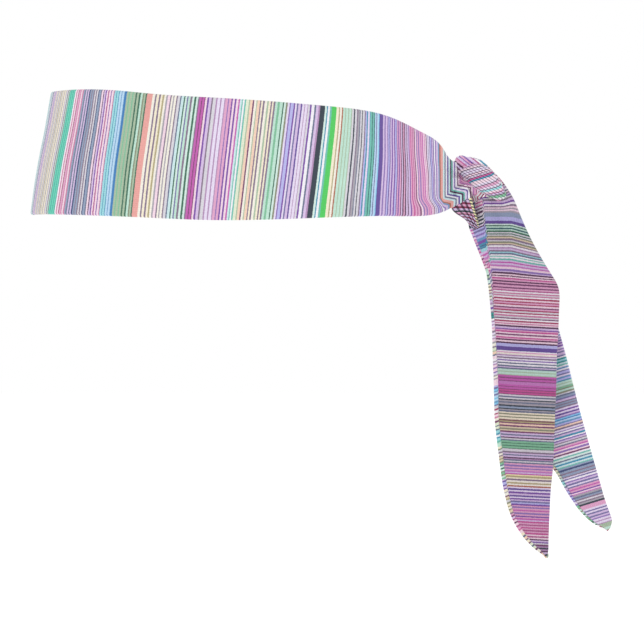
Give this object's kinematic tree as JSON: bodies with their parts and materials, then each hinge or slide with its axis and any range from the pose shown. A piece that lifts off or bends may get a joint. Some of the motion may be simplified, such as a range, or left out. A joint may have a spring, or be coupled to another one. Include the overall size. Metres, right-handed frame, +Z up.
{
  "type": "sports headband",
  "caption": "Wide knit sports headband worn as a loop and knotted behind the head, tapering to two free pointed tails that swing and bend.",
  "frame": {"origin": "centre of the head opening, half way up the band at the forehead", "axes": "+Z up the wearer's head, +Y from the forehead to the knot, +X to the wearer's left"},
  "size_m": [0.1572, 0.286, 0.2278],
  "materials": {
    "printed_knit": "matt microfibre knit, printed with fine many-coloured stripes across the strip",
    "lining_knit": "the same printed knit, the ply next to the head",
    "seam_thread": "pale polyester thread",
    "knotted_knit": "the same knit, gathered in the knot"
  },
  "bodies": {
    "headband": {"band_outer_panel": "printed_knit", "band_lining_panel": "lining_knit", "band_lower_seam_thread": "seam_thread", "band_upper_seam_thread": "seam_thread", "knot_outer_turn": "knotted_knit", "knot_inner_bundle": "knotted_knit", "knot_lower_turn": "knotted_knit"},
    "left_tail_root": {"left_tail_root_outer_panel": "printed_knit", "left_tail_root_lining_panel": "lining_knit"},
    "left_tail_upper": {"left_tail_upper_outer_panel": "printed_knit", "left_tail_upper_lining_panel": "lining_knit", "left_tail_upper_front_seam_thread": "seam_thread", "left_tail_upper_rear_seam_thread": "seam_thread"},
    "left_tail_lower": {"left_tail_lower_outer_panel": "printed_knit", "left_tail_lower_lining_panel": "lining_knit", "left_tail_lower_front_seam_thread": "seam_thread", "left_tail_lower_rear_seam_thread": "seam_thread"},
    "left_tail_tip": {"left_tail_tip_outer_panel": "printed_knit", "left_tail_tip_lining_panel": "lining_knit", "left_tail_tip_seam_thread": "seam_thread"},
    "right_tail_root": {"right_tail_root_outer_panel": "printed_knit", "right_tail_root_lining_panel": "lining_knit"},
    "right_tail_upper": {"right_tail_upper_outer_panel": "printed_knit", "right_tail_upper_lining_panel": "lining_knit", "right_tail_upper_front_seam_thread": "seam_thread", "right_tail_upper_rear_seam_thread": "seam_thread"},
    "right_tail_lower": {"right_tail_lower_outer_panel": "printed_knit", "right_tail_lower_lining_panel": "lining_knit", "right_tail_lower_front_seam_thread": "seam_thread", "right_tail_lower_rear_seam_thread": "seam_thread"},
    "right_tail_tip": {"right_tail_tip_outer_panel": "printed_knit", "right_tail_tip_lining_panel": "lining_knit", "right_tail_tip_seam_thread": "seam_thread"}
  },
  "joints": [
    {"name": "left_tail_swing", "type": "hinge", "parent": "headband", "child": "left_tail_root", "pos_m": [0.008, 0.124, -0.0305], "axis": [1, 0, 0], "range_deg": [-30, 45]},
    {"name": "left_tail_upper_bend", "type": "hinge", "parent": "left_tail_root", "child": "left_tail_upper", "pos_m": [0.008, 0.124, -0.0437], "axis": [0, 1, 0], "range_deg": [-50, 0]},
    {"name": "left_tail_lower_bend", "type": "hinge", "parent": "left_tail_upper", "child": "left_tail_lower", "pos_m": [0.008, 0.124, -0.0955], "axis": [0, 1, 0], "range_deg": [-50, 0]},
    {"name": "left_tail_tip_bend", "type": "hinge", "parent": "left_tail_lower", "child": "left_tail_tip", "pos_m": [0.008, 0.124, -0.1475], "axis": [0, 1, 0], "range_deg": [-60, 5]},
    {"name": "right_tail_swing", "type": "hinge", "parent": "headband", "child": "right_tail_root", "pos_m": [-0.008, 0.1176, -0.0315], "axis": [1, 0, 0], "range_deg": [-35, 40]},
    {"name": "right_tail_upper_bend", "type": "hinge", "parent": "right_tail_root", "child": "right_tail_upper", "pos_m": [-0.008, 0.12135, -0.04416], "axis": [0, 0.9588, 0.284], "range_deg": [0, 50]},
    {"name": "right_tail_lower_bend", "type": "hinge", "parent": "right_tail_upper", "child": "right_tail_lower", "pos_m": [-0.008, 0.13578, -0.09286], "axis": [0, 0.9588, 0.284], "range_deg": [0, 50]},
    {"name": "right_tail_tip_bend", "type": "hinge", "parent": "right_tail_lower", "child": "right_tail_tip", "pos_m": [-0.008, 0.15026, -0.14176], "axis": [0, 0.9588, 0.284], "range_deg": [-5, 60]}
  ]
}
